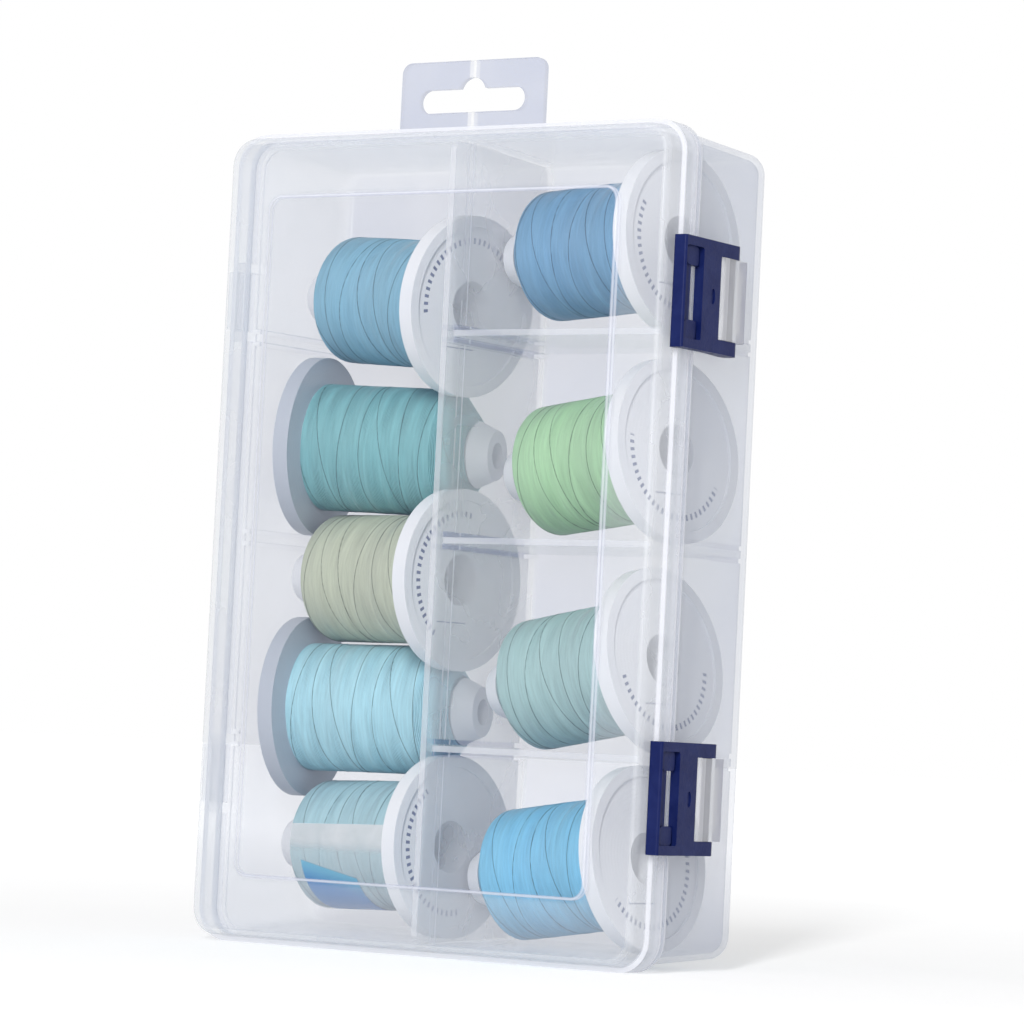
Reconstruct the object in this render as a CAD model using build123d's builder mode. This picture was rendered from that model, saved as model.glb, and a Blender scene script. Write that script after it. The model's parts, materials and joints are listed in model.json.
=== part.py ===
from build123d import *
import math
import os

# Clear thread box that stands on its short end: +Z up, +X to the latch side, -Y to the lid.
# The plane Y = 0 is where lid and tray meet, X = 0 is mid width and Z = 0 is the lower rim.

# Tray and lid
rim_corner = 8.4
rim_step = 1.4
wall = 1.5
tray_draft = 2.0
tray_rim = 2.0
tray_back_round = 4.0
lid_depth = 11.3
lid_draft = 1.0
lid_rim = 5.5
lid_edge_round = 2.0
panel_side_margin = 12.3
panel_end_margin = 14.1
panel_corner = 5.0
panel_rise = 0.8
panel_slope = 1.9
gate_diameter = 4.0
gate_depth = 0.35
lip_height = 2.0
lip_clearance = 0.15

# Hang tab and its peg slot
tab_width = 42.6
tab_rise = 17.6
tab_thickness = 1.6
tab_corner = 2.8
peg_slot_width = 31.4
peg_slot_height = 6.0
peg_slot_middle = 7.6
peg_bump_diameter = 8.0
peg_bump_middle = 9.4

# Centre wall, loose dividers and the ribs that hold them
centre_wall = 1.6
divider_reach = 6.5
divider_corner = 2.5
divider_thickness = 1.5
shelves = 3
rib_width = 1.2
rib_height = 1.5
slot_clearance = 0.2
edge_clearance = 0.4
lid_clearance = 0.7

# Snap hinges on the long left side, latches on the long right side
fastening_pitch = 121.0
hinge_y = 2.0
hinge_length = 15.0
hinge_gap = 0.3
hinge_end_gap = 0.2
ear_width = 2.6
ear_radius = 2.0
ear_web = 7.0
bar_radius = 1.2
clip_wall = 1.1
clip_mouth = 2.0
clip_arm = 2.4
pivot_clearance = 0.05

latch_length = 27.0
latch_gap = 0.15
latch_plate = 1.1
latch_thickness = 2.5
hook_width = 2.4
hook_depth = 1.1
hook_round = 0.7
hook_lip = 0.8
grip_start = 0.6
grip_end = 8.8
channel_length = 22.4
window_width = 3.7
window_length = 13.2
boss_rise = 0.6
boss_round = 1.2
dimple_width = 1.9
dimple_length = 3.8
dimple_middle = 5.6
dimple_depth = 0.4
arm_width = 3.4
arm_radius = 2.1
rod_radius = 1.2
rod_y = 16.8
knuckle_front = 9.4
knuckle_back = 21.3
knuckle_cover = 1.0
knuckle_web = 2.2
knuckle_round = 0.8
knuckle_gap = 0.1
rod_room = 0.15
rod_mouth = 2.0

# Spools and their thread
spool_length = 52.0
flange_diameter = 45.8
flange_edge = 4.0
flange_hub = 5.2
flange_ring = 2.8
flange_recess = 0.8
core_diameter = 15.0
core_bore = 13.0
tip_diameter = 17.0
tip_length = 5.0
tip_taper = 2.2
tip_bore = 6.5
tip_wall = 8.0
thread_diameter = 32.6
shoulder_length = 6.5
shoulder_diameter = 17.6
winding_gap = 0.5
winding_clearance = 0.05
rest_gap = 0.3

# Room round the spools: past their ends, above a flange in its cell, over the left column
# and between a flange and the back with the lid's inside
spool_end_room = 11.0
cell_room = 5.45
head_room = 4.0
flange_room = 2.2

# Clear film stuck round part of the thread of the spool that carries a film
film_thickness = 0.1
film_hub_gap = 1.3
film_start = 50.0
film_arc = 148.0

# Left column, top to bottom: the side each flange is on, its share of the end room to the
# wall it faces, how many stack pitches it sits above the spool below, and how far the axis
# dips and leans to the back. The right column has one spool on each shelf.
column = {
    1: {"flange": 1, "off": 0.482, "pitch": 1.089, "tilt": -4.2, "lean": 8.0},
    2: {"flange": -1, "off": 0.918, "pitch": 1.026, "tilt": -1.5, "lean": 10.3},
    3: {"flange": 1, "off": 0.364, "pitch": 1.0245, "tilt": 0.2, "lean": 5.8},
    4: {"flange": -1, "off": 0.927, "pitch": 1.0235, "tilt": 0.7, "lean": 9.0},
    5: {"flange": 1, "off": 0.273, "shelf": 0, "tilt": 2.0, "lean": 6.0, "film": True},
}
shelved = {
    6: {"off": 0.818, "shelf": 3, "tilt": 3.3, "lean": 6.6},
    7: {"off": 0.673, "shelf": 2, "tilt": 7.0, "lean": 9.0},
    8: {"off": 0.755, "shelf": 1, "tilt": 10.5, "lean": 6.4},
    9: {"off": 0.927, "shelf": 0, "tilt": 8.8, "lean": 5.5},
}

# Worked out from the sizes above
shelf_pitch = flange_diameter + cell_room
stack_pitch = max(thread_diameter, (flange_diameter + tip_diameter) / 2)
stack_pitches = sum(spool.get("pitch", 0) for spool in column.values())
stack_height = flange_diameter + stack_pitches * stack_pitch + 2 * rest_gap
rim_width = 2 * (rim_step + wall + spool_end_room + spool_length) + centre_wall
rim_height = max(
    (shelves + 1) * shelf_pitch,
    stack_height + head_room + 2 * (rim_step + wall),
)
tray_depth = flange_diameter + flange_room + 2 * wall - lid_depth
thread_end = spool_length - tip_length - shoulder_length - winding_gap
film_width = thread_end - flange_hub - film_hub_gap
mid_z = rim_height / 2
rim_side = rim_width / 2
shell_width = rim_width - 2 * rim_step
shell_height = rim_height - 2 * rim_step
shell_corner = rim_corner - rim_step
panel_width = shell_width - 2 * panel_side_margin
panel_height = shell_height - 2 * panel_end_margin
cavity_width = shell_width - 2 * wall
cavity_height = shell_height - 2 * wall
cavity_corner = shell_corner - wall
side_inside = cavity_width / 2
back_inside = tray_depth - wall
mid_back = tray_depth - wall / 2
fastening_heights = (mid_z - fastening_pitch / 2, mid_z + fastening_pitch / 2)
slot_width = divider_thickness + 2 * slot_clearance
shelf_bottoms = [mid_z + (k - (shelves - 1) / 2) * shelf_pitch - slot_width / 2
                 for k in range(shelves)]
clip_radius = bar_radius + pivot_clearance + clip_wall
hinge_x = -(rim_side + hinge_gap + clip_radius)
latch_inner = rim_side + latch_gap
latch_outer = latch_inner + latch_thickness
hook_back = -lid_rim - latch_gap
hook_front = hook_back - hook_width
rod_x = latch_outer - arm_radius
knuckle_inner = rod_x + rod_radius + rod_room
knuckle_outer = knuckle_inner + knuckle_cover
knuckle_length = latch_length - 2 * (arm_width + knuckle_gap)


def plane_to_back(y):
    """Plane across the box at depth y whose normal points to the back."""
    return Plane(origin=(0, y, mid_z), x_dir=(1, 0, 0), z_dir=(0, 1, 0))


def plane_to_front(y, z=mid_z):
    """Plane across the box at depth y whose normal points to the lid's face."""
    return Plane(origin=(0, y, z), x_dir=(1, 0, 0), z_dir=(0, -1, 0))


def draft_at(y):
    """How far the tray's side walls lean in at depth y."""
    return y * math.tan(math.radians(tray_draft))


def finish(piece, name):
    piece.part.label = name
    export_step(piece.part, f"parts/{name}.step")


def add_tray_shell():
    with BuildSketch(plane_to_back(0)) as outline:
        RectangleRounded(shell_width, shell_height, shell_corner)
    with BuildSketch(plane_to_back(0)) as cavity:
        RectangleRounded(cavity_width, cavity_height, cavity_corner)
    extrude(outline.sketch, amount=tray_depth, taper=tray_draft)
    extrude(cavity.sketch, amount=back_inside, taper=tray_draft, mode=Mode.SUBTRACT)
    fillet(edges().group_by(Axis.Y)[-2], tray_back_round - wall)
    fillet(edges().group_by(Axis.Y)[-1], tray_back_round)
    with BuildSketch(plane_to_back(0)) as rim:
        RectangleRounded(rim_width, rim_height, rim_corner)
        RectangleRounded(cavity_width, cavity_height, cavity_corner, mode=Mode.SUBTRACT)
    extrude(rim.sketch, amount=tray_rim)
    lip_width = shell_width - 2 * lip_clearance
    lip_side = shell_height - 2 * lip_clearance
    with BuildSketch(plane_to_front(0)) as lip:
        RectangleRounded(lip_width, lip_side, shell_corner - lip_clearance)
        RectangleRounded(cavity_width, cavity_height, cavity_corner, mode=Mode.SUBTRACT)
    extrude(lip.sketch, amount=lip_height)


def add_hang_tab():
    with BuildSketch(plane_to_front(tray_rim, rim_height)) as tab:
        with Locations((0, tab_rise / 2 - rim_step)):
            Rectangle(tab_width, tab_rise + 2 * rim_step)
        fillet(vertices().group_by(Axis.Y)[-1], tab_corner)
        with Locations((0, peg_slot_middle)):
            SlotOverall(peg_slot_width, peg_slot_height, mode=Mode.SUBTRACT)
        with Locations((0, peg_bump_middle)):
            Circle(peg_bump_diameter / 2, mode=Mode.SUBTRACT)
    extrude(tab.sketch, amount=tab_thickness)


def add_centre_wall():
    low = rim_step + wall / 2
    high = rim_height - low
    tongue = rim_step + wall + lid_clearance
    with BuildSketch(Plane.YZ) as profile:
        with BuildLine():
            Polyline(
                (0, low),
                (mid_back, low + draft_at(mid_back)),
                (mid_back, high - draft_at(mid_back)),
                (0, high),
                close=True,
            )
        make_face()
        fillet(vertices().group_by(Axis.X)[-1], tray_back_round - wall / 2)
        with Locations((wall / 2 - divider_reach / 2, mid_z)):
            Rectangle(divider_reach + wall, rim_height - 2 * tongue)
        fillet(vertices().group_by(Axis.X)[0], divider_corner)
    extrude(profile.sketch, amount=centre_wall / 2, both=True)


def add_slot_ribs():
    for bottom in shelf_bottoms:
        for rib_bottom in (bottom - rib_width, bottom + slot_width):
            with BuildSketch(Plane.XY.offset(rib_bottom)) as ribs:
                with BuildLine():
                    Polyline(
                        (side_inside - rib_height, 0),
                        (side_inside + wall / 2, 0),
                        (side_inside + wall / 2 - draft_at(mid_back), mid_back),
                        (side_inside - rib_height - draft_at(mid_back), mid_back),
                        close=True,
                    )
                make_face()
                outer_corner = vertices().group_by(Axis.Y)[-1].sort_by(Axis.X)[-1]
                chamfer(outer_corner, tray_back_round / 2)
                mirror(about=Plane.YZ)
                rib_front = divider_corner - divider_reach
                with Locations((0, (rib_front + mid_back) / 2)):
                    Rectangle(centre_wall + 2 * rib_height, mid_back - rib_front)
            extrude(ribs.sketch, amount=rib_width)


def add_hinge_ears():
    wall_x = shell_width / 2 - wall / 2
    for middle in fastening_heights:
        low_ear = middle - hinge_length / 2 - ear_width
        for ear_bottom in (low_ear, middle + hinge_length / 2):
            with BuildSketch(Plane.XY.offset(ear_bottom)) as ear:
                with Locations((hinge_x, hinge_y)):
                    Circle(ear_radius)
                with BuildLine():
                    Polyline(
                        (hinge_x, hinge_y - ear_radius),
                        (-wall_x, hinge_y - ear_radius),
                        (-wall_x + draft_at(ear_web), ear_web),
                        (hinge_x, hinge_y + ear_radius),
                        close=True,
                    )
                make_face()
            extrude(ear.sketch, amount=ear_width)
        with BuildSketch(Plane.XY.offset(middle - hinge_length / 2)) as bar:
            with Locations((hinge_x, hinge_y)):
                Circle(bar_radius)
        extrude(bar.sketch, amount=hinge_length)


def add_latch_knuckles():
    skin = shell_width / 2
    for middle in fastening_heights:
        with BuildSketch(Plane.XY.offset(middle - knuckle_length / 2)) as block:
            with BuildLine():
                Polyline(
                    (skin - wall / 2 - draft_at(knuckle_front), knuckle_front),
                    (knuckle_outer, knuckle_front),
                    (knuckle_outer, knuckle_back),
                    (skin - wall / 2 - draft_at(knuckle_back), knuckle_back),
                    close=True,
                )
            make_face()
            fillet(vertices().group_by(Axis.X)[-1], knuckle_round)
        extrude(block.sketch, amount=knuckle_length)
        pocket_back = knuckle_back - knuckle_cover
        pocket_length = knuckle_length - 2 * knuckle_web
        with BuildSketch(Plane.XY.offset(middle - pocket_length / 2)) as pocket:
            with BuildLine():
                Polyline(
                    (skin - draft_at(knuckle_front), knuckle_front),
                    (knuckle_inner, knuckle_front),
                    (knuckle_inner, pocket_back),
                    (skin - draft_at(pocket_back), pocket_back),
                    close=True,
                )
            make_face()
        extrude(pocket.sketch, amount=pocket_length, mode=Mode.SUBTRACT)
        with BuildSketch(Plane.XY.offset(middle - knuckle_length / 2)) as bearing:
            with Locations((rod_x, rod_y)):
                Circle(rod_radius + pivot_clearance)
            with Locations((rod_x, (knuckle_front + rod_y) / 2)):
                Rectangle(rod_mouth, rod_y - knuckle_front)
        extrude(bearing.sketch, amount=knuckle_length, mode=Mode.SUBTRACT)


def build_tray():
    with BuildPart() as tray:
        add_tray_shell()
        add_hang_tab()
        add_centre_wall()
        add_slot_ribs()
        add_hinge_ears()
        add_latch_knuckles()
    finish(tray, "base_tray")


def build_dividers():
    inner = centre_wall / 2 + edge_clearance
    outer = side_inside - edge_clearance
    back = back_inside - edge_clearance
    for number, bottom in enumerate(shelf_bottoms, start=1):
        with BuildPart() as divider:
            with BuildSketch(Plane.XY.offset(bottom)):
                with BuildLine():
                    Polyline(
                        (inner, -divider_reach),
                        (outer, -divider_reach),
                        (outer, 0),
                        (outer - draft_at(back), back),
                        (inner, back),
                        close=True,
                    )
                make_face()
                fillet(vertices().group_by(Axis.Y)[0], divider_corner)
                fillet(vertices().group_by(Axis.Y)[-1], tray_back_round)
            extrude(amount=divider_thickness)
        finish(divider, f"divider_{number}")


def step_panel(y, mode):
    """The lid's raised panel, stood on the plane at depth y: outside added, inside cut."""
    with BuildSketch(plane_to_front(y)) as foot:
        RectangleRounded(panel_width, panel_height, panel_corner)
    with BuildSketch(plane_to_front(y - panel_rise)) as top:
        RectangleRounded(
            panel_width - 2 * panel_slope,
            panel_height - 2 * panel_slope,
            panel_corner - panel_slope,
        )
    loft([foot.sketch, top.sketch], mode=mode)


def build_lid():
    with BuildPart() as lid:
        with BuildSketch(plane_to_front(0)):
            RectangleRounded(shell_width, shell_height, shell_corner)
        extrude(amount=lid_depth, taper=lid_draft)
        with BuildSketch(plane_to_front(0)):
            RectangleRounded(cavity_width, cavity_height, cavity_corner)
        extrude(amount=lid_depth - wall, taper=lid_draft, mode=Mode.SUBTRACT)
        fillet(edges().group_by(Axis.Y)[1], lid_edge_round - wall)
        fillet(edges().group_by(Axis.Y)[0], lid_edge_round)
        step_panel(-lid_depth, Mode.ADD)
        step_panel(wall - lid_depth, Mode.SUBTRACT)
        with BuildSketch(plane_to_front(0)):
            RectangleRounded(rim_width, rim_height, rim_corner)
            RectangleRounded(cavity_width, cavity_height, cavity_corner, mode=Mode.SUBTRACT)
        extrude(amount=lid_rim)
        with BuildSketch(plane_to_front(0)):
            RectangleRounded(shell_width, shell_height, shell_corner)
        extrude(amount=lip_height + 2 * lip_clearance, mode=Mode.SUBTRACT)
        with BuildSketch(plane_to_front(-lid_depth - panel_rise)):
            Circle(gate_diameter / 2)
        extrude(amount=-gate_depth, mode=Mode.SUBTRACT)
        add_hinge_clips()
    finish(lid, "lid")


def add_hinge_clips():
    """Open clips that snap round the tray's bars, each on an L-shaped arm off the rim."""
    clip_length = hinge_length - 2 * hinge_end_gap
    arm_left = hinge_x - bar_radius
    arm_right = -rim_side + rim_step / 2
    for middle in fastening_heights:
        with BuildSketch(Plane.XY.offset(middle - clip_length / 2)) as clip:
            with Locations((hinge_x, hinge_y)):
                Circle(clip_radius)
            with BuildLine():
                Polyline(
                    (arm_left, hinge_y - bar_radius),
                    (arm_left, -hinge_gap - clip_arm),
                    (arm_right, -hinge_gap - clip_arm),
                    (arm_right, -hinge_gap),
                    (hinge_x + clip_radius, -hinge_gap),
                    (hinge_x + clip_radius, hinge_y - bar_radius),
                    close=True,
                )
            make_face()
            fillet(vertices().group_by(Axis.Y)[0].sort_by(Axis.X)[0], clip_wall)
            with Locations((hinge_x, hinge_y)):
                Circle(bar_radius + pivot_clearance, mode=Mode.SUBTRACT)
            with Locations((hinge_x, hinge_y + clip_radius / 2)):
                Rectangle(clip_mouth, clip_radius, mode=Mode.SUBTRACT)
        extrude(clip.sketch, amount=clip_length)


def build_latch(name, middle):
    half = latch_length / 2
    with BuildPart() as latch:
        with BuildSketch(Plane.XY.offset(middle - half)):
            with BuildLine():
                Polyline(
                    (latch_inner - hook_depth, hook_front),
                    (latch_outer, hook_front),
                    (latch_outer, grip_end),
                    (latch_inner, grip_end),
                    (latch_inner, hook_back),
                    (latch_inner - hook_depth, hook_back),
                    close=True,
                )
            make_face()
            fillet(vertices().group_by(Axis.Y)[0], hook_round)
        extrude(amount=latch_length)
        outside = Plane(origin=(latch_outer, 0, middle), x_dir=(0, 1, 0), z_dir=(1, 0, 0))
        channel_start = hook_front + hook_lip
        channel_width = grip_start - channel_start
        with BuildSketch(outside):
            with Locations((channel_start + channel_width / 2, 0)):
                RectangleRounded(channel_width, channel_length, hook_round)
        extrude(amount=latch_plate - latch_thickness, mode=Mode.SUBTRACT)
        boss_width = channel_width - 2 * boss_round
        boss_length = (channel_length - window_length) / 2
        with BuildSketch(outside.offset(latch_plate - latch_thickness)):
            for end in (-1, 1):
                with Locations(
                    (channel_start + channel_width / 2, end * (window_length + boss_length) / 2)
                ):
                    RectangleRounded(boss_width, boss_length, boss_round)
        extrude(amount=boss_rise)
        with BuildSketch(outside):
            with Locations((grip_start - window_width / 2, 0)):
                Rectangle(window_width, window_length)
        extrude(amount=-latch_thickness, mode=Mode.SUBTRACT)
        with BuildSketch(outside):
            with Locations((dimple_middle, 0)):
                Ellipse(dimple_width / 2, dimple_length / 2)
        extrude(amount=-dimple_depth, mode=Mode.SUBTRACT)
        for arm_bottom in (middle - half, middle + half - arm_width):
            with BuildSketch(Plane.XY.offset(arm_bottom)):
                with Locations((rod_x, rod_y)):
                    Circle(arm_radius)
                with Locations(((latch_inner + latch_outer) / 2, grip_end - arm_radius)):
                    Rectangle(latch_thickness, arm_radius)
                make_hull()
            extrude(amount=arm_width)
        with BuildSketch(Plane.XY.offset(middle - half + arm_width / 2)):
            with Locations((rod_x, rod_y)):
                Circle(rod_radius)
        extrude(amount=latch_length - arm_width)
    finish(latch, name)


def build_latches():
    build_latch("latch_lower", fastening_heights[0])
    build_latch("latch_upper", fastening_heights[1])


def lay_on(plane, body, turn=0):
    """The body moved to the plane and turned about the plane's normal."""
    with BuildPart() as placed:
        with Locations(plane.location * Rotation(0, 0, turn)):
            add(body.part)
    return placed


def build_spool_body(plane):
    """A plastic spool: recessed flange at the plane, hollow core and tapered tip."""
    hub, rim = core_diameter / 2, flange_diameter / 2
    big_bore, small_bore = core_bore / 2, tip_bore / 2
    tip_start = spool_length - tip_length
    with BuildPart() as body:
        with BuildSketch(Plane.XZ):
            with BuildLine():
                Polyline(
                    (big_bore, flange_recess),
                    (rim - flange_ring, flange_recess),
                    (rim - flange_ring, 0),
                    (rim, 0),
                    (rim, flange_edge),
                    (hub, flange_hub),
                    (hub, tip_start),
                    (tip_diameter / 2, tip_start),
                    (tip_diameter / 2 - tip_taper, spool_length),
                    (small_bore, spool_length),
                    (small_bore, spool_length - tip_wall),
                    (big_bore, spool_length - tip_wall),
                    close=True,
                )
            make_face()
        revolve(axis=Axis.Z)
    return lay_on(plane, body)


def build_winding(plane):
    """Thread wound on the core, full to its end and coned down at the tip."""
    bore = core_diameter / 2 + winding_clearance
    full = thread_diameter / 2
    cone = (flange_hub - flange_edge) / (flange_diameter - core_diameter)
    start = flange_hub - cone * (thread_diameter - core_diameter) + winding_clearance
    with BuildPart() as body:
        with BuildSketch(Plane.XZ):
            with BuildLine():
                Polyline(
                    (bore, flange_hub + winding_clearance),
                    (full, start),
                    (full, thread_end),
                    (shoulder_diameter / 2, thread_end + shoulder_length),
                    (bore, thread_end + shoulder_length),
                    close=True,
                )
            make_face()
        revolve(axis=Axis.Z)
    return lay_on(plane, body)


def build_label_film(plane):
    """Clear film that lies on the thread from its lower back up to its upper front."""
    inner = thread_diameter / 2 + winding_clearance
    with BuildPart() as body:
        with BuildSketch(Plane.XZ):
            with Locations((inner + film_thickness / 2, thread_end - film_width / 2)):
                Rectangle(film_thickness, film_width)
        revolve(axis=Axis.Z, revolution_arc=film_arc)
    return lay_on(plane, body, film_start)


def spool_depth(lean):
    """Depth of a flange's centre when flange or thread rests against the back."""
    back, along = math.cos(math.radians(lean)), math.sin(math.radians(lean))
    flange_back = flange_edge * along + flange_diameter / 2 * back
    thread_back = thread_end * along + thread_diameter / 2 * back
    return back_inside - rest_gap - max(flange_back, thread_back)


def shelf_top(shelf):
    """Height that a spool on a shelf stands on: a divider, or the tray's own floor."""
    if shelf:
        return shelf_bottoms[shelf - 1] + divider_thickness
    return rim_step + wall + draft_at(spool_depth(0))


def standing_height(spool):
    """Height of the flange's centre when flange or thread stands on the spool's shelf."""
    sink = math.cos(math.radians(spool["lean"])) * math.sin(math.radians(spool["tilt"]))
    level = math.sqrt(1 - sink * sink)
    flange_drop = flange_edge * sink + flange_diameter / 2 * level
    thread_drop = thread_end * sink + thread_diameter / 2 * level
    return shelf_top(spool["shelf"]) + rest_gap + max(flange_drop, thread_drop)


def flange_x(spool, left):
    """Where the flange's outer face is, measured from the wall that it faces."""
    gap = spool["off"] * spool_end_room
    if not left:
        return side_inside - gap
    if spool["flange"] == 1:
        return -centre_wall / 2 - gap
    return gap - side_inside


def spool_plane(spool, left, height):
    """Plane at the flange's outer face whose normal runs along the spool to its tip."""
    side = spool.get("flange", 1)
    tilt, lean = math.radians(spool["tilt"]), math.radians(spool["lean"])
    along = (
        -side * math.cos(lean) * math.cos(tilt),
        math.sin(lean),
        -side * math.cos(lean) * math.sin(tilt),
    )
    return Plane(
        origin=(flange_x(spool, left), spool_depth(spool["lean"]), height),
        x_dir=(along[1], -along[0], 0),
        z_dir=along,
    )


def place_spools():
    """Every spool's plane by its number, the left column stacked from the floor up."""
    planes = {}
    for number, spool in shelved.items():
        planes[number] = spool_plane(spool, False, standing_height(spool))
    for number, spool in sorted(column.items(), reverse=True):
        if "shelf" in spool:
            height = standing_height(spool)
        else:
            height += spool["pitch"] * stack_pitch
        planes[number] = spool_plane(spool, True, height)
    return planes


def build_spools():
    planes = place_spools()
    for number, spool in (column | shelved).items():
        finish(build_spool_body(planes[number]), f"spool_{number}")
        finish(build_winding(planes[number]), f"thread_{number}")
        if "film" in spool:
            finish(build_label_film(planes[number]), "label_film")


os.makedirs("parts", exist_ok=True)
build_tray()
build_dividers()
build_lid()
build_latches()
build_spools()
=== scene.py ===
import json
import math

import bpy
from mathutils import Matrix, Vector


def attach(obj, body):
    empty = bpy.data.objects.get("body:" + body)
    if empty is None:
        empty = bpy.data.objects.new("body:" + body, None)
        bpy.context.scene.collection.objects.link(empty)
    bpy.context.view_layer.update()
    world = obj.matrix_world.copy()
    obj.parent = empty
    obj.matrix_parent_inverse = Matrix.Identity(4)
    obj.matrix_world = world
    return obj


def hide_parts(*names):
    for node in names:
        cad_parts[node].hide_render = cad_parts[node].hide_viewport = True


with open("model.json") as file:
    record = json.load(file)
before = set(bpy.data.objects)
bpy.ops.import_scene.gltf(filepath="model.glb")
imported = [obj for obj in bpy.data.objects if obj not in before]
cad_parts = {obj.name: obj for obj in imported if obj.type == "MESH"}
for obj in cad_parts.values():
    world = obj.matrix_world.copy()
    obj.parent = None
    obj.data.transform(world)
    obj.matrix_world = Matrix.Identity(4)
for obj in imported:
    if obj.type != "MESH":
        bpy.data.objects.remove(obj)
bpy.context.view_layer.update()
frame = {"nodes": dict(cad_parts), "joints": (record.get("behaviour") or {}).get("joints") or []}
nodes = frame["nodes"]
midHeight = 0.1025
number = "NodeSocketFloat"
print("frame loaded")


def addNode(tree, kind, **values):
    node = tree.nodes.new(kind)
    for name, value in values.items():
        setattr(node, name, value)
    return node


def feed(tree, socket, value):
    if isinstance(value, bpy.types.NodeSocket):
        tree.links.new(value, socket)
    else:
        socket.default_value = value


def maths(tree, operation, *terms, clamp=False):
    node = addNode(tree, "ShaderNodeMath", operation=operation, use_clamp=clamp)
    for socket, term in zip(node.inputs, terms):
        feed(tree, socket, term)
    return node.outputs[0]


def mixColour(tree, mask, first, second):
    node = addNode(tree, "ShaderNodeMix", data_type="RGBA")
    for socket, value in ((node.inputs[0], mask), (node.inputs[6], first), (node.inputs[7], second)):
        feed(tree, socket, value)
    return node.outputs[2]


# 1 within half of middle, fading to 0 over soft
def band(tree, value, middle, half, soft):
    away = maths(tree, "ABSOLUTE", maths(tree, "SUBTRACT", value, middle))
    ramp = addNode(tree, "ShaderNodeMapRange", interpolation_type="SMOOTHSTEP")
    for index, term in ((0, away), (1, half), (2, half + soft), (3, 1.0), (4, 0.0)):
        feed(tree, ramp.inputs[index], term)
    return ramp.outputs[0]


# 0 up to start, rising to 1 at end
def step(tree, value, start, end):
    ramp = addNode(tree, "ShaderNodeMapRange", interpolation_type="SMOOTHSTEP")
    for index, term in ((0, value), (1, start), (2, end)):
        feed(tree, ramp.inputs[index], term)
    return ramp.outputs[0]


def objectPlace(tree):
    return addNode(tree, "ShaderNodeTexCoord").outputs["Object"]


def newGroup(name, inputs, outputs):
    group = bpy.data.node_groups.new(name, "ShaderNodeTree")
    for label, kind, value in inputs:
        socket = group.interface.new_socket(label, in_out="INPUT", socket_type=kind)
        if value is not None:
            socket.default_value = value
    for label, kind in outputs:
        group.interface.new_socket(label, in_out="OUTPUT", socket_type=kind)
    return group, addNode(group, "NodeGroupInput"), addNode(group, "NodeGroupOutput")


def useGroup(tree, group, **values):
    node = addNode(tree, "ShaderNodeGroup", node_tree=group)
    for name, value in values.items():
        feed(tree, node.inputs[name], value)
    return node


def newMaterial(name):
    material = bpy.data.materials.new(name)
    material.use_nodes = True
    return material, material.node_tree, material.node_tree.nodes["Principled BSDF"]


def addBump(tree, surface, height, strength, distance):
    bump = addNode(tree, "ShaderNodeBump")
    bump.inputs["Strength"].default_value = strength
    bump.inputs["Distance"].default_value = distance
    tree.links.new(height, bump.inputs["Height"])
    tree.links.new(bump.outputs[0], surface.inputs["Normal"])


def dress(name, material):
    mesh = nodes[name].data
    mesh.materials.clear()
    mesh.materials.append(material)


# How far a point is outside a rounded rectangle that stands round the box's middle
outlineGroup, entry, result = newGroup(
    "outlineDistance",
    [("Place", "NodeSocketVector", None), ("Width", number, 0.1), ("Height", number, 0.2),
     ("Corner", number, 0.005)],
    [("Distance", number)])
apart = addNode(outlineGroup, "ShaderNodeSeparateXYZ")
outlineGroup.links.new(entry.outputs["Place"], apart.inputs[0])
reach = []
for axis, size, middle in ((0, "Width", 0.0), (2, "Height", midHeight)):
    away = maths(outlineGroup, "ABSOLUTE", maths(outlineGroup, "SUBTRACT", apart.outputs[axis], middle))
    half = maths(outlineGroup, "MULTIPLY", entry.outputs[size], 0.5)
    inner = maths(outlineGroup, "SUBTRACT", half, entry.outputs["Corner"])
    reach.append(maths(outlineGroup, "MAXIMUM", maths(outlineGroup, "SUBTRACT", away, inner), 0.0))
squares = [maths(outlineGroup, "MULTIPLY", side, side) for side in reach]
length = maths(outlineGroup, "SQRT", maths(outlineGroup, "ADD", *squares))
outlineGroup.links.new(maths(outlineGroup, "SUBTRACT", length, entry.outputs["Corner"]), result.inputs[0])

# Faint flow marks and haze of moulded plastic
mouldGroup, entry, result = newGroup(
    "mouldHaze",
    [("Place", "NodeSocketVector", None), ("Scale", number, 40.0), ("Low", number, 0.0),
     ("High", number, 1.0)],
    [("Value", number)])
haze = addNode(mouldGroup, "ShaderNodeTexNoise")
for name, value in (("Vector", entry.outputs["Place"]), ("Scale", entry.outputs["Scale"]),
                    ("Detail", 3.0), ("Distortion", 0.6)):
    feed(mouldGroup, haze.inputs[name], value)
spread = addNode(mouldGroup, "ShaderNodeMapRange")
for index, term in ((0, haze.outputs[0]), (1, 0.3), (2, 0.7), (3, entry.outputs["Low"]), (4, entry.outputs["High"])):
    feed(mouldGroup, spread.inputs[index], term)
mouldGroup.links.new(spread.outputs[0], result.inputs[0])
print("shader groups built")


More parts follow.
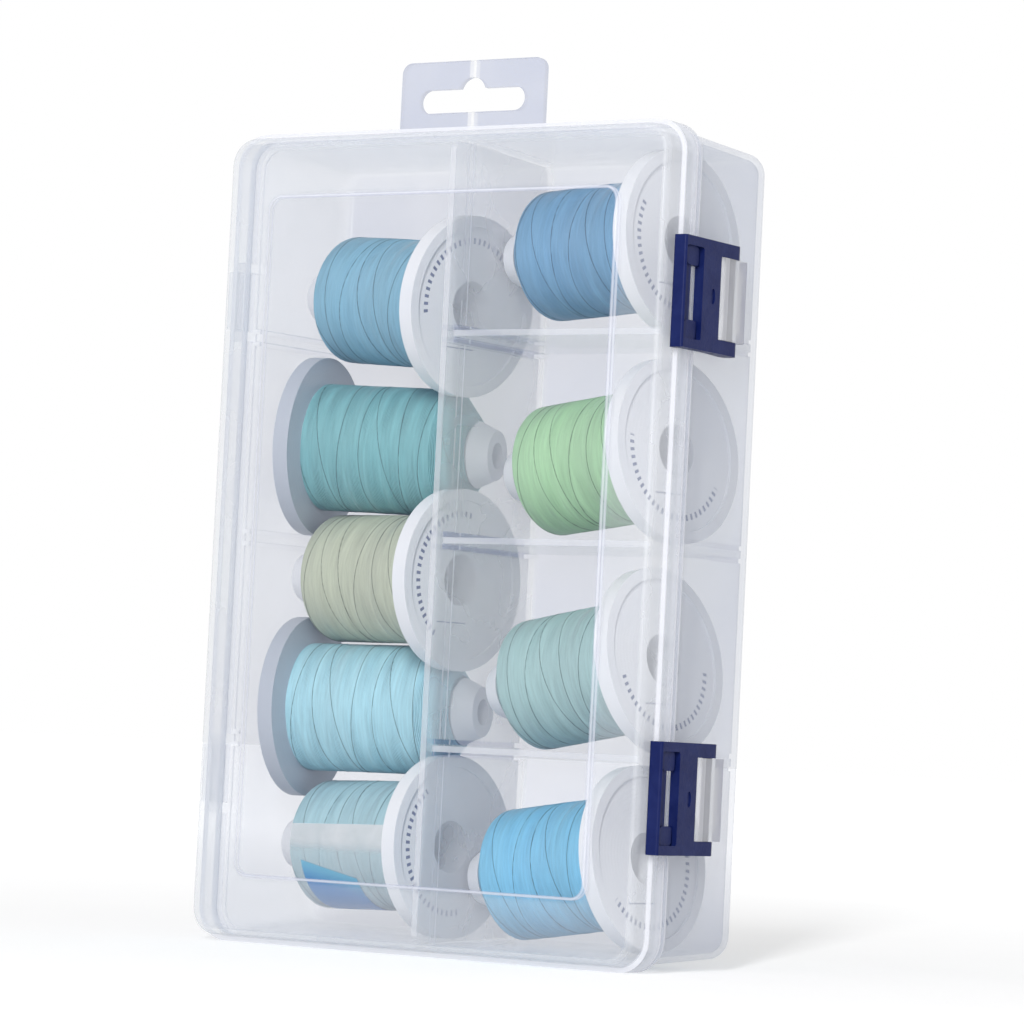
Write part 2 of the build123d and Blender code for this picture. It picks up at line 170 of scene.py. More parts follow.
clearPlastic = {
    "haze": (0.24, 0.31, 0.56, 1.0),
    "edge": (0.36, 0.40, 0.62, 1.0),
    # painted highlight: colour of the white lines along edges, steps and the parting
    "line": (0.93, 0.94, 1.0, 1.0),
    # painted shade: colour of the dark line along the knuckle's far edge
    "deep": (0.03, 0.04, 0.20, 1.0),
    "roughness": 0.22,
    "bounceShare": 0.4,
}
lidLook = {
    "milk": (0.90, 0.93, 0.99, 1.0),
    "marginMilk": 0.8,
    "panelCover": 0.04,
    "cover": 0.13,
    "rimCover": 0.17,
    "sideCover": 0.26,
    "grazing": 0.30,
    "shadowShare": 0.5,
    "panelWidth": 0.106,
    "panelHeight": 0.174,
    "panelCorner": 0.005,
    "panelSlope": 0.0019,
    "rimWidth": 0.1306,
    "rimHeight": 0.2022,
    "rimCorner": 0.007,
}
trayLook = {
    "sideMilk": (0.70, 0.76, 0.90, 1.0),
    "wallMilk": (0.96, 0.97, 1.0, 1.0),
    "cover": 0.17,
    "tabCover": 0.25,
    "sideCover": 0.18,
    "wallCover": 0.24,
    "knuckleCover": 0.30,
    "grazing": 0.34,
    "shadowShare": 1.5,
    "cavityWidth": 0.1276,
    "cavityHeight": 0.1992,
    "cavityCorner": 0.0055,
    "wallHalf": 0.0008,
    "tabFoot": 0.2052,
    "knuckleSide": 0.0668,
    "knuckleFront": 0.0094,
    "knuckleBack": 0.0213,
}
dividerLook = {
    "milk": (0.90, 0.93, 0.99, 1.0),
    "cover": 0.07,
    "frontCover": 0.37,
    "grazing": 0.22,
    "shadowShare": 0.3,
}


# paint gives how much each surface covers, how milky it is, its white lines, which are painted highlights along edges
# and steps, and its deep blue lines, which are painted shade along an edge
def makeClearPlastic(name, paint, look):
    material, tree, surface = newMaterial(name)
    place = objectPlace(tree)
    parts = addNode(tree, "ShaderNodeSeparateXYZ")
    tree.links.new(place, parts.inputs[0])
    facing = addNode(tree, "ShaderNodeLayerWeight")
    facing.inputs["Blend"].default_value = 0.5
    graze = maths(tree, "POWER", facing.outputs["Facing"], 3.0)
    cover, milky, milk, highlight, deep = paint(tree, place, parts.outputs)
    haze = useGroup(tree, mouldGroup, Place=place, Scale=35.0, Low=0.88, High=1.12).outputs[0]
    cover = maths(tree, "MULTIPLY", cover, haze)
    cover = maths(tree, "ADD", cover, maths(tree, "MULTIPLY", graze, look["grazing"]))
    cover = maths(tree, "MAXIMUM", cover, maths(tree, "MULTIPLY", highlight, 0.75))
    cover = maths(tree, "MAXIMUM", cover, maths(tree, "MULTIPLY", deep, 0.6))
    path = addNode(tree, "ShaderNodeLightPath").outputs
    let = maths(tree, "ADD", 1.0, maths(tree, "MULTIPLY", path["Is Shadow Ray"], look["shadowShare"] - 1.0))
    let = maths(tree, "ADD", let, maths(tree, "MULTIPLY", path["Is Diffuse Ray"],
                                        clearPlastic["bounceShare"] - 1.0))
    tree.links.new(maths(tree, "MULTIPLY", cover, let, clamp=True), surface.inputs["Alpha"])
    body = mixColour(tree, graze, clearPlastic["haze"], clearPlastic["edge"])
    body = mixColour(tree, milky, body, milk)
    # painted highlight lines, then the painted dark edge line
    body = mixColour(tree, highlight, body, clearPlastic["line"])
    tree.links.new(mixColour(tree, deep, body, clearPlastic["deep"]), surface.inputs["Base Color"])
    gloss = useGroup(tree, mouldGroup, Place=place, Scale=220.0, Low=-0.05, High=0.05).outputs[0]
    tree.links.new(maths(tree, "ADD", gloss, clearPlastic["roughness"]), surface.inputs["Roughness"])
    wave = useGroup(tree, mouldGroup, Place=place, Scale=60.0, Low=0.0, High=1.0).outputs[0]
    addBump(tree, surface, wave, 0.06, 0.001)
    surface.inputs["IOR"].default_value = 1.49
    return material


def blend(tree, mask, low, high):
    return maths(tree, "ADD", low, maths(tree, "MULTIPLY", mask, high - low))


def paintLid(tree, place, parts):
    panel = useGroup(tree, outlineGroup, Place=place, Width=lidLook["panelWidth"],
                     Height=lidLook["panelHeight"], Corner=lidLook["panelCorner"]).outputs[0]
    rim = useGroup(tree, outlineGroup, Place=place, Width=lidLook["rimWidth"],
                   Height=lidLook["rimHeight"], Corner=lidLook["rimCorner"]).outputs[0]
    inPanel = step(tree, panel, 0.0, -lidLook["panelSlope"])
    # painted highlights: white lines at the panel step, along the rim's front edge and at the parting
    slopeHighlight = band(tree, panel, -lidLook["panelSlope"] * 0.75, 0.0001, 0.0005)
    slopeHighlight = maths(tree, "MULTIPLY", slopeHighlight, step(tree, parts[1], -0.0085, -0.0105))
    rimHighlight = maths(tree, "MULTIPLY", band(tree, parts[1], -0.0055, 0.0001, 0.0004),
                    step(tree, rim, -0.0002, 0.0004))
    partingHighlight = band(tree, parts[1], -0.0001, 0.0001, 0.0005)
    cover = blend(tree, inPanel, lidLook["cover"], lidLook["panelCover"])
    onRim = step(tree, parts[1], -0.0058, -0.0054)
    cover = maths(tree, "ADD", cover, maths(tree, "MULTIPLY", onRim, lidLook["rimCover"] - lidLook["cover"]))
    side = step(tree, rim, -0.0022, -0.0016)
    cover = maths(tree, "MAXIMUM", cover, maths(tree, "MULTIPLY", side, lidLook["sideCover"]))
    highlight = maths(tree, "MAXIMUM", maths(tree, "MULTIPLY", slopeHighlight, 0.75),
                  maths(tree, "MAXIMUM", rimHighlight, partingHighlight))
    margin = maths(tree, "MULTIPLY", maths(tree, "SUBTRACT", 1.0, inPanel), lidLook["marginMilk"])
    return cover, maths(tree, "MAXIMUM", side, margin), lidLook["milk"], highlight, 0.0


def paintTray(tree, place, parts):
    tab = step(tree, parts[2], trayLook["tabFoot"] - 0.0004, trayLook["tabFoot"] + 0.0004)
    # painted highlights: white lines along the rim's back edge, the walls' front edges and beside the knuckle
    rimHighlight = band(tree, parts[1], 0.0017, 0.0001, 0.0005)
    wallFront = step(tree, parts[1], -0.0058, -0.0063)
    highlightLines = maths(tree, "MAXIMUM", maths(tree, "MULTIPLY", rimHighlight, 0.9),
                  maths(tree, "MULTIPLY", wallFront, 0.5))
    highlightLines = maths(tree, "MULTIPLY", highlightLines, maths(tree, "SUBTRACT", 1.0, tab))
    knuckle = step(tree, parts[0], trayLook["knuckleSide"], trayLook["knuckleSide"] + 0.0003)
    near = band(tree, parts[1], trayLook["knuckleFront"] + 0.0020, 0.0009, 0.0003)
    highlightLines = maths(tree, "MAXIMUM", highlightLines, maths(tree, "MULTIPLY", maths(tree, "MULTIPLY", near, knuckle), 0.7))
    # painted shade: a deep blue line along the knuckle's far edge
    farEdge = band(tree, parts[1], trayLook["knuckleBack"] - 0.0003, 0.0003, 0.0002)
    cavity = useGroup(tree, outlineGroup, Place=place, Width=trayLook["cavityWidth"],
                      Height=trayLook["cavityHeight"], Corner=trayLook["cavityCorner"]).outputs[0]
    side = maths(tree, "MULTIPLY", step(tree, cavity, -0.0022, -0.0016), maths(tree, "SUBTRACT", 1.0, tab))
    wall = band(tree, parts[0], 0.0, trayLook["wallHalf"] + 0.0001, 0.0001)
    cover = blend(tree, tab, trayLook["cover"], trayLook["tabCover"])
    cover = maths(tree, "MAXIMUM", cover, maths(tree, "MULTIPLY", side, trayLook["sideCover"]))
    cover = maths(tree, "MAXIMUM", cover, maths(tree, "MULTIPLY", wall, trayLook["wallCover"]))
    cover = maths(tree, "MAXIMUM", cover, maths(tree, "MULTIPLY", knuckle, trayLook["knuckleCover"]))
    milk = mixColour(tree, maths(tree, "MAXIMUM", wall, knuckle), trayLook["sideMilk"], trayLook["wallMilk"])
    milky = maths(tree, "MAXIMUM", side, wall)
    return cover, milky, milk, highlightLines, maths(tree, "MULTIPLY", farEdge, knuckle)


def paintDivider(tree, place, parts):
    front = step(tree, parts[1], -0.0060, -0.0064)
    cover = blend(tree, front, dividerLook["cover"], dividerLook["frontCover"])
    # the front edge is more covering and carries a painted highlight
    return cover, 1.0, dividerLook["milk"], maths(tree, "MULTIPLY", front, 0.4), 0.0


dress("lid", makeClearPlastic("lidPlastic", paintLid, lidLook))
dress("base_tray", makeClearPlastic("trayPlastic", paintTray, trayLook))
dividerPlastic = makeClearPlastic("dividerPlastic", paintDivider, dividerLook)
for shelf in range(1, 4):
    dress(f"divider_{shelf}", dividerPlastic)
print("clear plastic dressed")


latchLook = {
    "colour": (0.005, 0.012, 0.090, 1.0),
    "worn": (0.012, 0.022, 0.120, 1.0),
    "roughness": 0.38,
    "coat": 0.02,
}


def makeLatchPlastic():
    material, tree, surface = newMaterial("latchPlastic")
    place = objectPlace(tree)
    cloud = useGroup(tree, mouldGroup, Place=place, Scale=180.0, Low=0.0, High=1.0).outputs[0]
    tree.links.new(mixColour(tree, cloud, latchLook["colour"], latchLook["worn"]), surface.inputs["Base Color"])
    gloss = useGroup(tree, mouldGroup, Place=place, Scale=900.0, Low=-0.06, High=0.08).outputs[0]
    tree.links.new(maths(tree, "ADD", gloss, latchLook["roughness"]), surface.inputs["Roughness"])
    grain = addNode(tree, "ShaderNodeTexNoise")
    tree.links.new(place, grain.inputs["Vector"])
    grain.inputs["Scale"].default_value = 1400.0
    addBump(tree, surface, grain.outputs[0], 0.10, 0.0004)
    surface.inputs["Coat Weight"].default_value = latchLook["coat"]
    surface.inputs["Coat Roughness"].default_value = 0.2
    surface.inputs["Specular IOR Level"].default_value = 0.12
    return material


latchPlastic = makeLatchPlastic()
for name in ("latch_upper", "latch_lower"):
    dress(name, latchPlastic)
print("latches dressed")


spoolLook = {
    "plastic": (0.92, 0.93, 0.96, 1.0),
    "shade": (0.78, 0.82, 0.89, 1.0),
    # painted shade: darker colour for the flange at the start of the listed spools
    "flangeShadeColour": (0.50, 0.54, 0.61, 1.0),
    "flangeShadeSpools": (2, 4),
    "flangeShadeTo": 0.010,
    "print": (0.10, 0.13, 0.26, 1.0),
    "roughness": 0.34,
    "tickRadius": 0.0166,
    "tickHeight": 0.0007,
    "ticks": 56,
    "lineSide": -0.0108,
}


# each spool's flange centre and turn, from its spin joint
def spoolFrames():
    frames = {}
    for joint in frame["joints"]:
        if joint["name"].startswith("spool_"):
            along = Vector(joint["axis"]).normalized()
            turn = along.to_track_quat("Z", "Y").to_matrix().to_4x4()
            frames[int(joint["name"].split("_")[1])] = Matrix.Translation(joint["pos_m"]) @ turn
    return frames


spoolPlaces = spoolFrames()


# object coordinates turned so that Z runs along the spool from its flange
def spoolPlace(tree, spool):
    mapping = addNode(tree, "ShaderNodeMapping", vector_type="TEXTURE")
    mapping.inputs["Location"].default_value = spoolPlaces[spool].to_translation()
    mapping.inputs["Rotation"].default_value = spoolPlaces[spool].to_euler()
    tree.links.new(objectPlace(tree), mapping.inputs["Vector"])
    return mapping.outputs[0]


def makeSpoolPlastic(spool):
    material, tree, surface = newMaterial(f"spoolPlastic{spool}")
    place = spoolPlace(tree, spool)
    parts = addNode(tree, "ShaderNodeSeparateXYZ")
    tree.links.new(place, parts.inputs[0])
    x, y, z = parts.outputs
    radius = maths(tree, "SQRT", maths(tree, "ADD", maths(tree, "MULTIPLY", x, x), maths(tree, "MULTIPLY", y, y)))
    angle = maths(tree, "ARCTAN2", y, x)
    # a ring of plain ticks with a gap, and one ruled line, printed on the flange's face
    turns = maths(tree, "MULTIPLY", angle, spoolLook["ticks"] / (2 * math.pi))
    tick = band(tree, maths(tree, "FRACT", turns), 0.5, 0.16, 0.10)
    ring = band(tree, radius, spoolLook["tickRadius"], spoolLook["tickHeight"], 0.0001)
    arc = band(tree, maths(tree, "SINE", maths(tree, "ADD", angle, 0.4 * spool)), 0.75, 0.55, 0.05)
    printed = maths(tree, "MULTIPLY", maths(tree, "MULTIPLY", tick, ring), arc)
    line = maths(tree, "MULTIPLY", band(tree, y, spoolLook["lineSide"], 0.00012, 0.00008),
                 band(tree, x, 0.003, 0.0055, 0.0002))
    printed = maths(tree, "MULTIPLY", maths(tree, "MAXIMUM", printed, line), step(tree, z, 0.0013, 0.0010))
    cloud = useGroup(tree, mouldGroup, Place=place, Scale=70.0, Low=0.0, High=0.35).outputs[0]
    body = mixColour(tree, cloud, spoolLook["plastic"], spoolLook["shade"])
    # painted shade: the listed spools get the flange at their start painted darker
    if spool in spoolLook["flangeShadeSpools"]:
        flange = step(tree, z, spoolLook["flangeShadeTo"] + 0.002, spoolLook["flangeShadeTo"])
        body = mixColour(tree, flange, body, spoolLook["flangeShadeColour"])
    ink = maths(tree, "MULTIPLY", printed, 0.85)
    tree.links.new(mixColour(tree, ink, body, spoolLook["print"]), surface.inputs["Base Color"])
    gloss = useGroup(tree, mouldGroup, Place=place, Scale=400.0, Low=-0.05, High=0.07).outputs[0]
    tree.links.new(maths(tree, "ADD", gloss, spoolLook["roughness"]), surface.inputs["Roughness"])
    rings = addNode(tree, "ShaderNodeTexWave", wave_type="RINGS", rings_direction="Z")
    tree.links.new(place, rings.inputs["Vector"])
    rings.inputs["Scale"].default_value = 260.0
    rings.inputs["Distortion"].default_value = 1.0
    addBump(tree, surface, rings.outputs["Fac"], 0.05, 0.0003)
    return material


for spool in sorted(spoolPlaces):
    dress(f"spool_{spool}", makeSpoolPlastic(spool))
print("spools dressed")


windingLook = {
    "radius": 0.0163,
    "start": 0.0041,
    "full": 0.0400,
    "end": 0.0465,
    "tipRadius": 0.0088,
    "coreGap": 0.00025,
    "boreRadius": 0.0077,
    "pitch": 0.00028,
    "strand": 0.00020,
    "perTurn": 48,
    "lays": 7.0,
    "slant": 0.0006,
    "stray": 0.00010,
    "toneAndShade": 1.0,
    # painted shade: the core body that shows between strands is made a little darker
    "coreShade": 0.9,
}
crossingLook = {
    "pitch": 0.0056,
    "strand": 0.00010,
    "lift": 0.00004,
    "slant": 0.0030,
    "lays": 2.3,
    # painted shade: the crossing lays are darkened to stand in for the dark lines between lays
    "toneAndShade": 0.42,
    "perTurn": 48,
}
threadColours = {
    1: (0.230, 0.460, 0.600),
    2: (0.210, 0.470, 0.500),
    3: (0.510, 0.550, 0.430),
    4: (0.420, 0.700, 0.790),
    5: (0.400, 0.600, 0.660),
    6: (0.180, 0.370, 0.560),
    7: (0.400, 0.640, 0.390),
    8: (0.390, 0.570, 0.570),
    9: (0.220, 0.560, 0.790),
}


# One long strand round the local Z axis: it follows the cone at the tip and leans to and fro
def buildStrandTree():
    tree = bpy.data.node_groups.new("woundStrand", "GeometryNodeTree")
    tree.interface.new_socket("Geometry", in_out="OUTPUT", socket_type="NodeSocketGeometry")
    for name, kind, value in (
            ("Radius", number, windingLook["radius"]), ("Start", number, windingLook["start"]),
            ("Full", number, windingLook["full"]), ("End", number, windingLook["end"]),
            ("Tip Radius", number, windingLook["tipRadius"]), ("Pitch", number, windingLook["pitch"]),
            ("Strand", number, windingLook["strand"]), ("Per Turn", "NodeSocketInt", windingLook["perTurn"]),
            ("Lays", number, windingLook["lays"]), ("Slant", number, windingLook["slant"]),
            ("Stray", number, windingLook["stray"]), ("Lift", number, 0.0), ("Seed", number, 0.0),
            ("Tone And Shade", number, windingLook["toneAndShade"]), ("Material", "NodeSocketMaterial", None)):
        socket = tree.interface.new_socket(name, in_out="INPUT", socket_type=kind)
        if value is not None:
            socket.default_value = value
    entry, result = addNode(tree, "NodeGroupInput"), addNode(tree, "NodeGroupOutput")
    given = entry.outputs
    length = maths(tree, "SUBTRACT", given["End"], given["Start"])
    count = maths(tree, "MULTIPLY", maths(tree, "DIVIDE", length, given["Pitch"]), given["Per Turn"])
    line = addNode(tree, "GeometryNodeMeshLine", mode="OFFSET")
    tree.links.new(count, line.inputs["Count"])
    index = addNode(tree, "GeometryNodeInputIndex").outputs[0]
    share = maths(tree, "DIVIDE", index, count)
    angle = maths(tree, "DIVIDE", maths(tree, "MULTIPLY", index, 2 * math.pi), given["Per Turn"])
    angle = maths(tree, "ADD", angle, given["Seed"])
    # each lay leans the other way, as the guide runs to and fro
    lay = maths(tree, "MULTIPLY", maths(tree, "MULTIPLY", share, given["Lays"]), 2 * math.pi)
    sway = maths(tree, "SINE", maths(tree, "ADD", lay, given["Seed"]))
    lean = maths(tree, "MULTIPLY", maths(tree, "MULTIPLY", sway, given["Slant"]), maths(tree, "SINE", angle))
    noise = addNode(tree, "ShaderNodeTexNoise", noise_dimensions="1D")
    drift = maths(tree, "ADD", maths(tree, "MULTIPLY", index, 0.004), maths(tree, "MULTIPLY", given["Seed"], 7.0))
    tree.links.new(drift, noise.inputs["W"])
    noise.inputs["Scale"].default_value = 1.0
    noise.inputs["Detail"].default_value = 2.0
    stray = maths(tree, "MULTIPLY", maths(tree, "SUBTRACT", noise.outputs[0], 0.5), given["Stray"])
    along = maths(tree, "ADD", given["Start"], maths(tree, "MULTIPLY", share, length))
    along = maths(tree, "ADD", along, maths(tree, "ADD", lean, stray))
    along = maths(tree, "MINIMUM", maths(tree, "MAXIMUM", along, given["Start"]), given["End"])
    cone = maths(tree, "DIVIDE", maths(tree, "SUBTRACT", along, given["Full"]),
                 maths(tree, "SUBTRACT", given["End"], given["Full"]))
    drop = maths(tree, "MULTIPLY", maths(tree, "MAXIMUM", cone, 0.0),
                 maths(tree, "SUBTRACT", given["Radius"], given["Tip Radius"]))
    radius = maths(tree, "SUBTRACT", maths(tree, "SUBTRACT", given["Radius"], given["Strand"]), drop)
    radius = maths(tree, "ADD", radius, given["Lift"])
    spot = addNode(tree, "ShaderNodeCombineXYZ")
    feed(tree, spot.inputs[0], maths(tree, "MULTIPLY", radius, maths(tree, "COSINE", angle)))
    feed(tree, spot.inputs[1], maths(tree, "MULTIPLY", radius, maths(tree, "SINE", angle)))
    feed(tree, spot.inputs[2], along)
    place = addNode(tree, "GeometryNodeSetPosition")
    tree.links.new(line.outputs[0], place.inputs["Geometry"])
    tree.links.new(spot.outputs[0], place.inputs["Position"])
    toneAndShade = addNode(tree, "GeometryNodeStoreNamedAttribute", data_type="FLOAT", domain="POINT")
    toneAndShade.inputs["Name"].default_value = "toneAndShade"
    tree.links.new(place.outputs[0], toneAndShade.inputs["Geometry"])
    mottle = maths(tree, "ADD", maths(tree, "MULTIPLY", noise.outputs[0], 0.12), 0.94)
    tree.links.new(maths(tree, "MULTIPLY", mottle, given["Tone And Shade"]), toneAndShade.inputs["Value"])
    curve = addNode(tree, "GeometryNodeMeshToCurve")
    tree.links.new(toneAndShade.outputs[0], curve.inputs[0])
    profile = addNode(tree, "GeometryNodeCurvePrimitiveCircle", mode="RADIUS")
    profile.inputs["Resolution"].default_value = 4
    tree.links.new(given["Strand"], profile.inputs["Radius"])
    tube = addNode(tree, "GeometryNodeCurveToMesh")
    tree.links.new(curve.outputs[0], tube.inputs["Curve"])
    tree.links.new(profile.outputs[0], tube.inputs["Profile Curve"])
    tube.inputs["Fill Caps"].default_value = True
    shade = addNode(tree, "GeometryNodeSetShadeSmooth")
    tree.links.new(tube.outputs[0], shade.inputs["Geometry"])
    real = addNode(tree, "GeometryNodeRealizeInstances")
    tree.links.new(shade.outputs[0], real.inputs[0])
    paint = addNode(tree, "GeometryNodeSetMaterial")
    tree.links.new(real.outputs[0], paint.inputs["Geometry"])
    tree.links.new(given["Material"], paint.inputs["Material"])
    tree.links.new(paint.outputs[0], result.inputs[0])
    return tree


# runs a tree with these inputs and gives the plain mesh it makes
def runTree(name, tree, values):
    holder = bpy.data.objects.new(name, bpy.data.meshes.new(name))
    bpy.context.scene.collection.objects.link(holder)
    modifier = holder.modifiers.new("build", "NODES")
    modifier.node_group = tree
    for item in tree.interface.items_tree:
        if item.item_type == "SOCKET" and item.in_out == "INPUT" and item.name in values:
            modifier[item.identifier] = values[item.name]
    bpy.context.view_layer.update()
    graph = bpy.context.evaluated_depsgraph_get()
    mesh = bpy.data.meshes.new_from_object(holder.evaluated_get(graph), preserve_all_data_layers=True, depsgraph=graph)
    bpy.data.objects.remove(holder)
    return mesh


def makeThreadFibre(spool, tint):
    material, tree, surface = newMaterial(f"threadFibre{spool}")
    place = spoolPlace(tree, spool)
    toneAndShade = addNode(tree, "ShaderNodeAttribute", attribute_name="toneAndShade")
    parts = addNode(tree, "ShaderNodeSeparateXYZ")
    tree.links.new(place, parts.inputs[0])
    squash = addNode(tree, "ShaderNodeCombineXYZ")
    for index, stretch in ((0, 120.0), (1, 120.0), (2, 1800.0)):
        feed(tree, squash.inputs[index], maths(tree, "MULTIPLY", parts.outputs[index], stretch))
    streak = addNode(tree, "ShaderNodeTexNoise")
    tree.links.new(squash.outputs[0], streak.inputs["Vector"])
    streak.inputs["Scale"].default_value = 1.0
    streak.inputs["Detail"].default_value = 3.0
    shadeOf = addNode(tree, "ShaderNodeMapRange")
    for index, term in ((0, streak.outputs[0]), (1, 0.3), (2, 0.7), (3, 0.90), (4, 1.08)):
        feed(tree, shadeOf.inputs[index], term)
    # the ramp below carries the random streaks and the painted shade of the crossing lays and core
    level = maths(tree, "MULTIPLY", shadeOf.outputs[0], toneAndShade.outputs["Fac"])
    dark = tuple(part * 0.3 for part in tint) + (1.0,)
    light = tuple(min(1.0, part * 1.15 + 0.02) for part in tint) + (1.0,)
    tree.links.new(mixColour(tree, step(tree, level, 0.25, 1.25), dark, light), surface.inputs["Base Color"])
    surface.inputs["Roughness"].default_value = 0.5
    surface.inputs["Sheen Weight"].default_value = 0.15
    surface.inputs["Sheen Roughness"].default_value = 0.4
    twist = addNode(tree, "ShaderNodeTexWave", bands_direction="DIAGONAL")
    tree.links.new(place, twist.inputs["Vector"])
    twist.inputs["Scale"].default_value = 1600.0
    addBump(tree, surface, twist.outputs["Fac"], 0.12, 0.0001)
    return material


# the wound body under the strands, closed round its bore
def coreMesh():
    look = windingLook
    near, far = look["start"] + 0.0004, look["end"] - 0.0004
    rings = [(near, look["boreRadius"]), (near, look["radius"] - look["coreGap"]),
             (look["full"], look["radius"] - look["coreGap"]), (far, look["tipRadius"] - look["coreGap"]),
             (far, look["boreRadius"])]
    sides = 64
    points = [(radius * math.cos(2 * math.pi * k / sides), radius * math.sin(2 * math.pi * k / sides), along)
              for along, radius in rings for k in range(sides)]
    faces = []
    for ring in range(len(rings)):
        after = (ring + 1) % len(rings)
        for k in range(sides):
            beside = (k + 1) % sides
            faces.append((ring * sides + k, ring * sides + beside, after * sides + beside, after * sides + k))
    mesh = bpy.data.meshes.new("windingCore")
    mesh.from_pydata(points, [], faces)
    mesh.attributes.new("toneAndShade", "FLOAT", "POINT").data.foreach_set("value", [look["coreShade"]] * len(points))
    return mesh


def joinMeshes(name, meshes, place):
    made = []
    for mesh in meshes:
        holder = bpy.data.objects.new(name, mesh)
        bpy.context.scene.collection.objects.link(holder)
        made.append(holder)
    bpy.ops.object.select_all(action="DESELECT")
    for holder in made:
        holder.select_set(True)
    bpy.context.view_layer.objects.active = made[0]
    bpy.ops.object.join()
    whole = made[0]
    whole.data.transform(place)
    whole.data.update()
    return whole


strandTree = buildStrandTree()
for spool, tint in threadColours.items():
    fibre = makeThreadFibre(spool, tint)
    seed = 1.7 * spool
    wound = runTree("wound", strandTree, {"Material": fibre, "Seed": seed,
                                          "Lays": windingLook["lays"] + 0.6 * (spool % 3)})
    crossing = runTree("crossing", strandTree, {
        "Material": fibre, "Seed": seed, "Pitch": crossingLook["pitch"], "Strand": crossingLook["strand"],
        "Lift": crossingLook["lift"], "Slant": crossingLook["slant"], "Lays": crossingLook["lays"],
        "Tone And Shade": crossingLook["toneAndShade"], "Per Turn": crossingLook["perTurn"]})
    core = coreMesh()
    core.materials.append(fibre)
    winding = joinMeshes(f"winding_{spool}", [wound, crossing, core], spoolPlaces[spool])
    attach(winding, f"spool_{spool}_body")
    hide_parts(f"thread_{spool}")
print("thread wound")


filmLook = {
    "spool": 5,
    "film": (0.92, 0.95, 0.97, 1.0),
    "panel": (0.10, 0.33, 0.72, 1.0),
    "panelLight": (0.22, 0.58, 0.80, 1.0),
    "cover": 0.20,
    "glareCover": 0.58,
    "panelCover": 0.85,
    "panelFrom": 0.0195,
    "panelTo": 0.0365,
    "panelTop": 0.0072,
}


def makeLabelFilm():
    material, tree, surface = newMaterial("labelFilm")
    place = spoolPlace(tree, filmLook["spool"])
    along = addNode(tree, "ShaderNodeSeparateXYZ")
    tree.links.new(place, along.inputs[0])
    parts = addNode(tree, "ShaderNodeSeparateXYZ")
    tree.links.new(objectPlace(tree), parts.inputs[0])
    height = maths(tree, "SUBTRACT", parts.outputs[2], spoolPlaces[filmLook["spool"]].to_translation().z)
    # a plain printed panel low on the front, lighter towards its upper edge
    middle = (filmLook["panelFrom"] + filmLook["panelTo"]) / 2
    half = (filmLook["panelTo"] - filmLook["panelFrom"]) / 2
    lift = maths(tree, "MULTIPLY", maths(tree, "SUBTRACT", along.outputs[2], middle), 0.22)
    top = maths(tree, "SUBTRACT", lift, filmLook["panelTop"])
    below = step(tree, maths(tree, "SUBTRACT", height, top), 0.0002, -0.0002)
    panel = maths(tree, "MULTIPLY", band(tree, along.outputs[2], middle, half, 0.0003), below)
    glare = step(tree, height, -0.0035, 0.0005)
    cloud = useGroup(tree, mouldGroup, Place=place, Scale=110.0, Low=0.8, High=1.2).outputs[0]
    cover = maths(tree, "MULTIPLY", blend(tree, glare, filmLook["cover"], filmLook["glareCover"]), cloud)
    cover = maths(tree, "MAXIMUM", cover, maths(tree, "MULTIPLY", panel, filmLook["panelCover"]))
    tree.links.new(cover, surface.inputs["Alpha"])
    ink = mixColour(tree, step(tree, maths(tree, "SUBTRACT", height, top), -0.0060, 0.0), filmLook["panel"],
                    filmLook["panelLight"])
    tree.links.new(mixColour(tree, panel, filmLook["film"], ink), surface.inputs["Base Color"])
    gloss = useGroup(tree, mouldGroup, Place=place, Scale=300.0, Low=0.16, High=0.26).outputs[0]
    tree.links.new(gloss, surface.inputs["Roughness"])
    return material


dress("label_film", makeLabelFilm())
print("label film dressed")


roomLook = {
    "paper": (0.93, 0.93, 0.935, 1.0),
    "paperGrain": (0.95, 0.95, 0.955, 1.0),
    "world": 0.42,
    "paperGlow": 0.37,
    "farGlow": 0.75,
    "strip": 47.0,
}
cameraLook = {
    "place": (0.6023, -0.8951, 0.0526),
    "yaw": 33.12,
    "pitch": 3.07,
    "roll": 2.88,
    "lens": 153.3,
}


def seenDirectly(tree):
    path = addNode(tree, "ShaderNodeLightPath")
    return maths(tree, "MAXIMUM", path.outputs["Is Camera Ray"],
                 maths(tree, "MAXIMUM", path.outputs["Is Glossy Ray"], path.outputs["Is Transmission Ray"]))


def buildWorld():
    world = bpy.data.worlds.new("studio")
    bpy.context.scene.world = world
    world.use_nodes = True
    tree = world.node_tree
    sky = tree.nodes["Background"]
    sky.inputs["Color"].default_value = (1.0, 1.0, 1.0, 1.0)
    tree.links.new(blend(tree, seenDirectly(tree), roomLook["world"], 1.0), sky.inputs["Strength"])


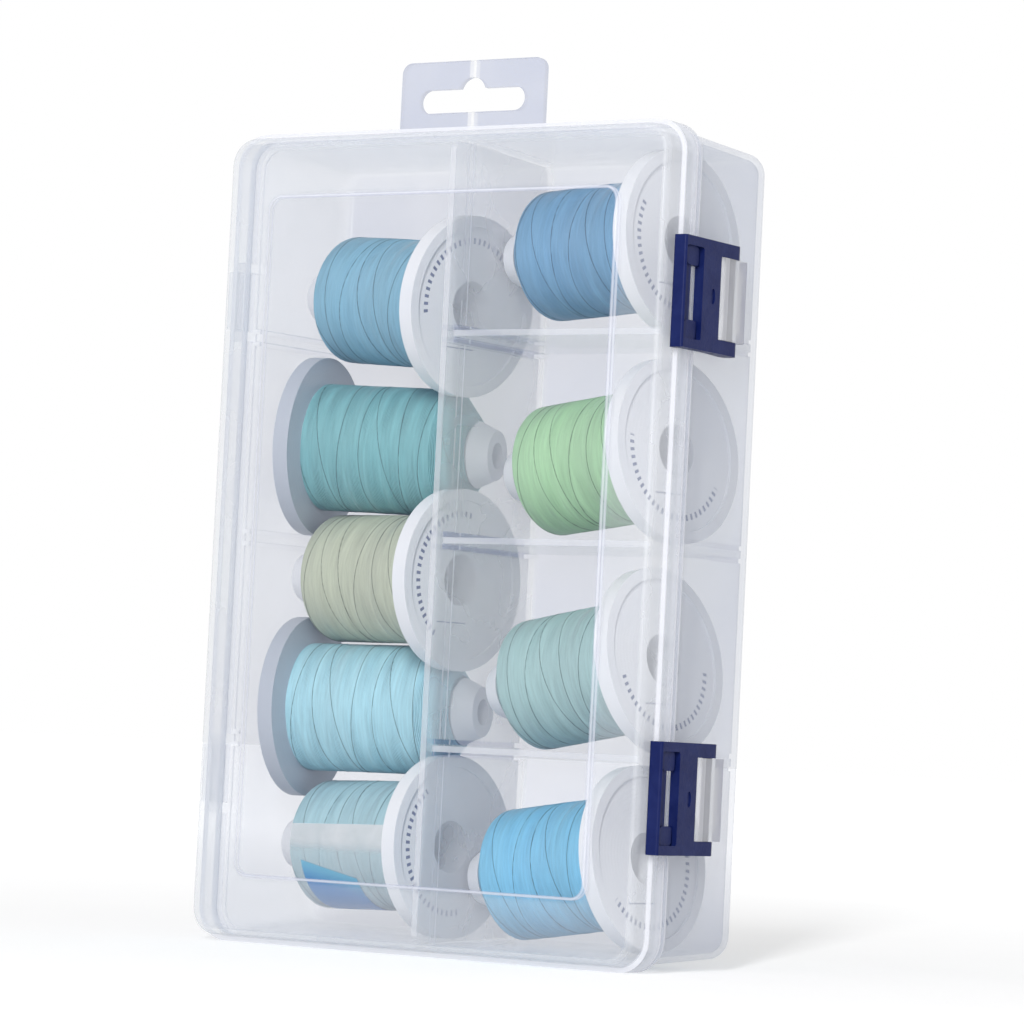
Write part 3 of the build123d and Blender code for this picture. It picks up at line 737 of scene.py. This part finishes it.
def buildFloor():
    mesh = bpy.data.meshes.new("floor")
    size = 40.0
    mesh.from_pydata([(-size, -size, 0), (size, -size, 0), (size, size, 0), (-size, size, 0)], [], [(0, 1, 2, 3)])
    floor = bpy.data.objects.new("floor", mesh)
    bpy.context.scene.collection.objects.link(floor)
    material, tree, surface = newMaterial("floorPaper")
    grain = useGroup(tree, mouldGroup, Place=objectPlace(tree), Scale=30.0, Low=0.0, High=1.0).outputs[0]
    tree.links.new(mixColour(tree, grain, roomLook["paper"], roomLook["paperGrain"]), surface.inputs["Base Color"])
    # the paper goes over into the white backdrop away from the box
    far = addNode(tree, "ShaderNodeVectorMath", operation="LENGTH")
    tree.links.new(objectPlace(tree), far.inputs[0])
    glow = addNode(tree, "ShaderNodeMapRange")
    for index, term in ((0, far.outputs["Value"]), (1, 0.15), (2, 1.4), (3, roomLook["paperGlow"]),
                        (4, roomLook["farGlow"])):
        feed(tree, glow.inputs[index], term)
    surface.inputs["Emission Color"].default_value = (1.0, 1.0, 1.0, 1.0)
    tree.links.new(maths(tree, "MULTIPLY", glow.outputs[0], seenDirectly(tree)), surface.inputs["Emission Strength"])
    surface.inputs["Roughness"].default_value = 0.9
    surface.inputs["Specular IOR Level"].default_value = 0.0
    mesh.materials.append(material)


def addLamp(name, place, target, width, height, power):
    lamp = bpy.data.lights.new(name, "AREA")
    lamp.shape = "RECTANGLE"
    lamp.size, lamp.size_y = width, height
    lamp.energy = power
    holder = bpy.data.objects.new(name, lamp)
    holder.location = place
    holder.rotation_euler = (Vector(target) - Vector(place)).to_track_quat("-Z", "Y").to_euler()
    bpy.context.scene.collection.objects.link(holder)


def buildCamera():
    yaw, pitch, roll = (math.radians(cameraLook[name]) for name in ("yaw", "pitch", "roll"))
    ahead = Vector((-math.sin(yaw) * math.cos(pitch), math.cos(yaw) * math.cos(pitch), math.sin(pitch)))
    right = Vector((math.cos(yaw), math.sin(yaw), 0.0))
    up = right.cross(ahead)
    tiltedRight = right * math.cos(roll) + up * math.sin(roll)
    tiltedUp = up * math.cos(roll) - right * math.sin(roll)
    camera = bpy.data.cameras.new("camera")
    camera.lens = cameraLook["lens"]
    camera.sensor_width = 36.0
    camera.clip_end = 20.0
    holder = bpy.data.objects.new("camera", camera)
    turn = Matrix((tiltedRight, tiltedUp, -ahead)).transposed().to_4x4()
    holder.matrix_world = Matrix.Translation(cameraLook["place"]) @ turn
    bpy.context.scene.collection.objects.link(holder)
    bpy.context.scene.camera = holder


buildWorld()
buildFloor()
addLamp("strip", (1.03, -2.28, 1.05), (0.0, 0.0, 0.1), 0.2, 1.9, roomLook["strip"])
buildCamera()
bpy.context.scene.view_settings.view_transform = "Standard"
bpy.context.scene.cycles.transparent_max_bounces = 40  # many clear walls lie one behind another
print("room and camera built")
